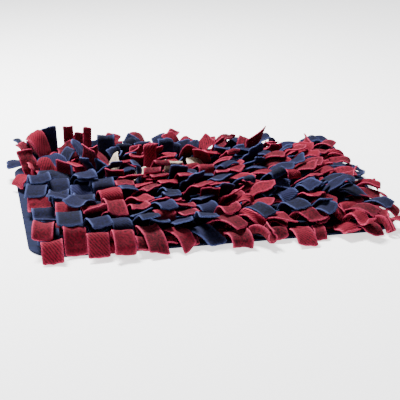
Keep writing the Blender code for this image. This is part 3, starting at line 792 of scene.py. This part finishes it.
def polarFleece(name):
    # polar fleece: a brushed knit, so it is matt with a mottled pile; shade is painted into its darker
    # patches and grooves, and a highlight is painted along its cut edges
    colours, finish = fleeceColours[name], fleeceFinish
    made, tree, shader = newMaterial("polar fleece " + name)
    uv = addNode(tree, "ShaderNodeUVMap", {"uv_map": "strip"}).outputs["UV"]
    # the painted highlight's mask near the cut edges, the strip's random tone, and how plainly its rib shows
    painted_highlight, shade, ribbed = (
        addNode(tree, "ShaderNodeAttribute", {"attribute_name": kind}).outputs["Fac"]
        for kind in ("painted_highlight", "shade", "rib")
    )
    mottle = addNode(
        tree,
        "ShaderNodeTexNoise",
        inputs={"Scale": 1 / finish["mottle"], "Detail": 3, "Roughness": 0.6},
        links={"Vector": uv},
    ).outputs["Fac"]
    knit = addNode(
        tree,
        "ShaderNodeTexNoise",
        inputs={"Scale": 1 / finish["knit"], "Detail": 2, "Roughness": 0.7},
        links={"Vector": uv},
    ).outputs["Fac"]
    turnedUv = addNode(
        tree,
        "ShaderNodeMapping",
        inputs={"Rotation": (0, 0, math.radians(finish["rib turn"]))},
        links={"Vector": uv},
    ).outputs["Vector"]
    # a wave texture's bands stand pi / 10 of its unit apart at a scale of 1
    rib = addNode(
        tree,
        "ShaderNodeTexWave",
        {"wave_type": "BANDS", "bands_direction": "X", "wave_profile": "SIN"},
        {"Scale": math.pi / 10 / finish["rib"], "Distortion": 1.2, "Detail": 2, "Detail Scale": 1.5},
        {"Vector": turnedUv},
    ).outputs["Fac"]
    (ribFrom, ribTo), (ribLeast, ribMost) = finish["rib range"], finish["rib share"]
    ribWeight = addNode(
        tree,
        "ShaderNodeMapRange",
        inputs={"From Min": ribFrom, "From Max": ribTo, "To Min": ribLeast, "To Max": ribMost},
        links={"Value": ribbed},
    ).outputs["Result"]
    ribShown = addNode(
        tree, "ShaderNodeMath", {"operation": "MULTIPLY"}, links={0: rib, 1: ribWeight}
    ).outputs["Value"]
    height = addNode(
        tree,
        "ShaderNodeMath",
        {"operation": "MULTIPLY_ADD"},
        {1: finish["knit share"]},
        {0: knit, 2: ribShown},
    ).outputs["Value"]
    tone = addNode(
        tree,
        "ShaderNodeMath",
        {"operation": "MULTIPLY_ADD"},
        {1: finish["mottle share"]},
        {0: mottle, 2: ribShown},
    ).outputs["Value"]
    tone = addNode(
        tree,
        "ShaderNodeMath",
        {"operation": "MULTIPLY_ADD"},
        {1: finish["shade share"]},
        {0: shade, 2: tone},
    ).outputs["Value"]
    toneFrom, toneTo = finish["tone range"]
    toned = addNode(
        tree,
        "ShaderNodeMapRange",
        inputs={"From Min": toneFrom, "From Max": toneTo},
        links={"Value": tone},
    ).outputs["Result"]
    # a colour mix's sockets by number: 0 the factor, 6 and 7 its colours, and 2 its result
    # the pile darkened towards a painted shade: in random mottled patches, in strips of a darker random tone,
    # and in the rib's grooves where the bump is low
    pile = addNode(
        tree,
        "ShaderNodeMix",
        {"data_type": "RGBA"},
        {6: linear(colours["painted_shade_and_mottle"]), 7: linear(colours["pile"])},
        {0: toned},
    ).outputs[2]
    # a highlight painted along the cut edges, broken up by the knit
    highlightMask = addNode(
        tree,
        "ShaderNodeMath",
        {"operation": "MULTIPLY", "use_clamp": True},
        {1: finish["painted highlight share"]},
        {0: painted_highlight},
    ).outputs["Value"]
    highlightMask = addNode(
        tree, "ShaderNodeMath", {"operation": "MULTIPLY", "use_clamp": True}, links={0: highlightMask, 1: knit}
    ).outputs["Value"]
    highlighted = addNode(
        tree, "ShaderNodeMix", {"data_type": "RGBA"}, {7: linear(colours["painted_highlight"])}, {0: highlightMask, 6: pile}
    ).outputs[2]
    bump = addNode(
        tree,
        "ShaderNodeBump",
        inputs={"Strength": finish["bump strength"], "Distance": finish["bump"]},
        links={"Height": height},
    ).outputs["Normal"]
    values = {
        "Roughness": finish["roughness"],
        "Specular IOR Level": finish["specular"],
        "Sheen Weight": finish["sheen"],
        "Sheen Roughness": finish["sheen roughness"],
        "Sheen Tint": linear(colours["sheen"]),
    }
    setSockets(shader, tree, values, {"Base Color": highlighted, "Normal": bump})
    return made


def addRun(points, faces, strips):
    # the run of cloth that the base holds along a tier: a narrow closed ribbon through the strips' roots
    (left, right), root = runEnds(strips), strips[0].root
    low, high = layout["base thick"] + layout["lay gap"], root.z + layout["strip thick"] / 4
    halfY, halfZ, middleZ = layout["strip thick"] / 2, (high - low) / 2, (low + high) / 2
    count, steps = fleece["run sides"], max(2, round((right - left) / fleece["run step"]))
    across, depth = fleece["run wander place"]
    start = len(points)
    for step in range(steps + 1):
        x = left + (right - left) * step / steps
        at = Vector((x / fleece["run wander length"], root.y * across, depth))
        wander = noise.noise(at) * fleece["run wander"]
        for k in range(count):
            angle = 2 * math.pi * (k + 0.5) / count
            y = root.y + wander + fleece["run fullness"] * halfY * math.cos(angle)
            points.append((x, y, middleZ + halfZ * math.sin(angle)))
    for step in range(steps):
        for k in range(count):
            a, b = start + step * count + k, start + step * count + (k + 1) % count
            faces.append((a, b, b + count, a + count))
    faces.append(tuple(start + k for k in reversed(range(count))))
    faces.append(tuple(start + steps * count + k for k in range(count)))
    return len(points) - start


def addComb(key, strips, extra, shaped, faceList, material):
    # one piece for each tier and colour: its strips, its fillers and the run of cloth along them
    tier, colour = key
    tierShift, columnShift = fleece["cloth shift"]
    points, faces, paintedHighlights, shades, ribs, uvs = [], [], [], [], [], []
    for strip in strips + extra:
        mesh, flat, habit, _ = shaped[strip]
        start = len(points)
        points += [tuple(p) for p in mesh]
        faces += [tuple(start + i for i in face) for face in faceList]
        # how near each point is to a cut edge, for the highlight painted there
        toSide = strip.width / 2 - np.abs(flat[:, 0])
        toEnd = strip.length - flat[:, 1]
        near = np.minimum(toSide, toEnd)
        paintedHighlights += list(np.exp(-np.maximum(near, 0) / fleece["painted highlight width"]))
        shades += [habit["shade"]] * len(mesh)
        ribs += [habit["rib"]] * len(mesh)
        uvs += [(x + strip.tier * tierShift, y + strip.column * columnShift) for x, y in flat]
    grown = addRun(points, faces, strips)
    paintedHighlights += [0.0] * grown
    shades += [fleece["run shade"]] * grown
    ribs += [0.0] * grown
    uvs += [(p[0], p[2]) for p in points[-grown:]]
    data = bpy.data.meshes.new(f"fleece_{tier:02d}_{colour}")
    data.from_pydata(points, [], faces)
    for name, values in (("painted_highlight", paintedHighlights), ("shade", shades), ("rib", ribs)):
        data.attributes.new(name, "FLOAT", "POINT").data.foreach_set("value", np.array(values, np.float32))
    layer = data.uv_layers.new(name="strip")
    corners = np.zeros(len(data.loops), np.int32)
    data.loops.foreach_get("vertex_index", corners)
    layer.data.foreach_set("uv", np.array(uvs, np.float32)[corners].ravel())
    data.shade_smooth()
    data.materials.append(material)
    piece = bpy.data.objects.new(data.name, data)
    bpy.context.scene.collection.objects.link(piece)
    return piece


baseMat = {
    "width": 450 * mm,
    "depth": 350 * mm,
    "corner radius": 38 * mm,
    "corner steps": 20,
    "edge round": 0.8 * mm,
    "edge steps": 3,
    "grid": 14 * mm,
    "unevenness": 0.22 * mm,
    "unevenness length": 30 * mm,
    "smooth angle": 40,  # degrees
    "felt": "#131936",
    # a darker colour: painted shade in the low parts of the fibre bump, and random patches of darker tone
    "felt painted shade and mottle": "#0a0e20",
    "fibre": 1.6 * mm,
    "fibre share": 0.6,
    "fibre height": 0.4 * mm,
    "patch": 11 * mm,
    "tone range": (0.45, 1.15),  # from the painted shade's colour to the felt's
    "roughness": 0.95,
    "specular": 0.15,
    "sheen": 0.1,
    "sheen roughness": 0.5,
    "sheen tint": "#8fa0d8",
    "bump strength": 0.5,
}


def needledFelt():
    # needled felt: matt and slightly mottled, with short fibres lying every way; shade is painted into the
    # low parts of its fibre bump
    made, tree, shader = newMaterial("needled felt navy")
    place = addNode(tree, "ShaderNodeTexCoord").outputs["Object"]
    fibre = addNode(
        tree,
        "ShaderNodeTexNoise",
        inputs={"Scale": 1 / baseMat["fibre"], "Detail": 4, "Roughness": 0.7, "Distortion": 0.6},
        links={"Vector": place},
    ).outputs["Fac"]
    patch = addNode(
        tree,
        "ShaderNodeTexNoise",
        inputs={"Scale": 1 / baseMat["patch"], "Detail": 2},
        links={"Vector": place},
    ).outputs["Fac"]
    tone = addNode(
        tree,
        "ShaderNodeMath",
        {"operation": "MULTIPLY_ADD"},
        {1: baseMat["fibre share"]},
        {0: fibre, 2: patch},
    ).outputs["Value"]
    toneFrom, toneTo = baseMat["tone range"]
    toned = addNode(
        tree,
        "ShaderNodeMapRange",
        inputs={"From Min": toneFrom, "From Max": toneTo},
        links={"Value": tone},
    ).outputs["Result"]
    # the felt darkened towards a painted shade where the fibre bump is low, and in random patches
    mixed = addNode(
        tree,
        "ShaderNodeMix",
        {"data_type": "RGBA"},
        {6: linear(baseMat["felt painted shade and mottle"]), 7: linear(baseMat["felt"])},
        {0: toned},
    ).outputs[2]
    bump = addNode(
        tree,
        "ShaderNodeBump",
        inputs={"Strength": baseMat["bump strength"], "Distance": baseMat["fibre height"]},
        links={"Height": fibre},
    ).outputs["Normal"]
    values = {
        "Roughness": baseMat["roughness"],
        "Specular IOR Level": baseMat["specular"],
        "Sheen Weight": baseMat["sheen"],
        "Sheen Roughness": baseMat["sheen roughness"],
        "Sheen Tint": linear(baseMat["sheen tint"]),
    }
    setSockets(shader, tree, values, {"Base Color": mixed, "Normal": bump})
    return made


def addBase():
    # the felt sheet: its corners rounded, its edges softened and its top a little uneven
    low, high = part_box("base_mat")
    size, near = high - low, mm / 10
    bpy.ops.object.select_all(action="DESELECT")
    bpy.ops.mesh.primitive_cube_add(size=1, location=(low + high) / 2)
    piece = bpy.context.object
    piece.name = piece.data.name = "felt_base"
    piece.scale = size
    bpy.ops.object.transform_apply(location=True, rotation=True, scale=True)
    bpy.ops.object.mode_set(mode="EDIT")
    mesh = bmesh.from_edit_mesh(piece.data)
    for face in mesh.faces:
        face.select_set(False)
    upright = [e for e in mesh.edges if abs(e.verts[0].co.z - e.verts[1].co.z) > size.z / 2]
    for edge in mesh.edges:
        edge.select_set(edge in upright)
    bmesh.update_edit_mesh(piece.data)
    bpy.ops.mesh.select_mode(type="EDGE")
    bpy.ops.mesh.bevel(offset=baseMat["corner radius"], segments=baseMat["corner steps"], affect="EDGES")
    mesh = bmesh.from_edit_mesh(piece.data)
    for edge in mesh.edges:
        flatTop = all(abs(v.co.z - high.z) < near for v in edge.verts)
        flatLow = all(abs(v.co.z - low.z) < near for v in edge.verts)
        edge.select_set(flatTop or flatLow)
    bmesh.update_edit_mesh(piece.data)
    bpy.ops.mesh.bevel(offset=baseMat["edge round"], segments=baseMat["edge steps"], affect="EDGES")
    for axis, extent in ((0, size.x), (1, size.y)):
        cuts = round(extent / baseMat["grid"])
        for cut in range(1, cuts):
            place, way = [0, 0, 0], [0, 0, 0]
            place[axis] = low[axis] + extent * cut / cuts
            way[axis] = 1
            bpy.ops.mesh.select_all(action="SELECT")
            bpy.ops.mesh.bisect(plane_co=place, plane_no=way)
    bpy.ops.mesh.select_all(action="SELECT")
    bpy.ops.mesh.remove_doubles(threshold=mm / 1000)
    bpy.ops.mesh.normals_make_consistent(inside=False)
    bpy.ops.object.mode_set(mode="OBJECT")
    for vertex in piece.data.vertices:
        if vertex.co.z > high.z - near:
            sunk = 0.5 + noise.noise(vertex.co / baseMat["unevenness length"])
            vertex.co.z -= sunk * baseMat["unevenness"]
    bpy.ops.object.shade_smooth_by_angle(angle=math.radians(baseMat["smooth angle"]))
    piece.data.materials.clear()
    piece.data.materials.append(needledFelt())
    return piece


base = addBase()
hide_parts("base_mat")
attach(base, "root")
print("felt base made")

slab = slabTree(
    baseMat["width"],
    baseMat["depth"],
    baseMat["corner radius"],
    layout["base corner steps"],
    layout["base thick"] + layout["lay gap"],
)
strips, laid, runTrees = layStrips(slab)
print(len(strips), "strip ends laid")

fillers = [f for f in planFillers(combsOf(strips)) if settle(f, fill, laid, runTrees, slab)]
print(len(fillers), "shorter strip ends laid between them")

shaped, faceList = shapeStrips(strips + fillers, slab)
amounts = [shape[3] for shape in shaped.values()]
print("strips shaped, with a mean", round(sum(amounts) / len(amounts), 2), "of their waves")

cloths = {name: polarFleece(name) for name in fleeceColours}
for key, members in combsOf(strips).items():
    extra = [s for s in fillers if (s.tier, s.colour) == key]
    piece = addComb(key, members, extra, shaped, faceList, cloths[key[1]])
    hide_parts(f"tier_{key[0]:02d}_{key[1]}")
    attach(piece, "root")
print("fleece tiers made")

studio = {
    "camera place": (-0.28205, -1.34696, 0.4897),
    "camera pitch": 19.80,  # degrees below level
    "camera turn": 12.278,  # degrees from +Y towards +X
    "lens": 99,  # on a 36 mm sensor
    "floor": "#f7f7f8",
    "floor size": 8,
    "floor roughness": 0.9,
    "floor specular": 0.1,
    "world": "#ffffff",
    "world strength": 0.14,
    "floor glow": 1.5,  # keeps the paper white round the mat's own soft shadow
    "lights": (
        # name, place, aimed at, size, watts
        ("overhead softbox", (-0.35, 0.6, 1.2), (0, 0, 0), 0.35, 88),
        ("left softbox", (-1.3, -0.3, 0.8), (0, 0, 0.02), 0.3, 8),
    ),
}


def addStudio():
    # the floor, the world, the lights and the camera
    bpy.ops.object.select_all(action="DESELECT")
    bpy.ops.mesh.primitive_plane_add(size=studio["floor size"])
    floor = bpy.context.object
    floor.name = "floor"
    # matt paper: no shine, and pale enough to show the mat's soft shadow
    paper, tree, shader = newMaterial("matt paper backdrop")
    values = {
        "Base Color": linear(studio["floor"]),
        "Roughness": studio["floor roughness"],
        "Specular IOR Level": studio["floor specular"],
        "Emission Color": linear(studio["floor"]),
        "Emission Strength": studio["floor glow"],
    }
    setSockets(shader, tree, values, {})
    floor.data.materials.append(paper)
    world = bpy.data.worlds.new("studio")
    world.use_nodes = True
    background = world.node_tree.nodes["Background"]
    background.inputs["Color"].default_value = linear(studio["world"])
    background.inputs["Strength"].default_value = studio["world strength"]
    bpy.context.scene.world = world
    for name, place, target, size, watts in studio["lights"]:
        data = bpy.data.lights.new(name, "AREA")
        data.shape, data.size, data.energy = "SQUARE", size, watts
        lamp = bpy.data.objects.new(name, data)
        lamp.location = place
        lamp.rotation_mode = "QUATERNION"
        lamp.rotation_quaternion = (Vector(target) - Vector(place)).to_track_quat("-Z", "Y")
        bpy.context.scene.collection.objects.link(lamp)
    data = bpy.data.cameras.new("camera")
    data.lens = studio["lens"]
    camera = bpy.data.objects.new("camera", data)
    camera.location = studio["camera place"]
    pitch, turn = math.radians(studio["camera pitch"]), math.radians(studio["camera turn"])
    ahead = Vector((math.sin(turn) * math.cos(pitch), math.cos(turn) * math.cos(pitch), -math.sin(pitch)))
    camera.rotation_mode = "QUATERNION"
    camera.rotation_quaternion = ahead.to_track_quat("-Z", "Y")
    bpy.context.scene.collection.objects.link(camera)
    bpy.context.scene.camera = camera


addStudio()
print("studio made")
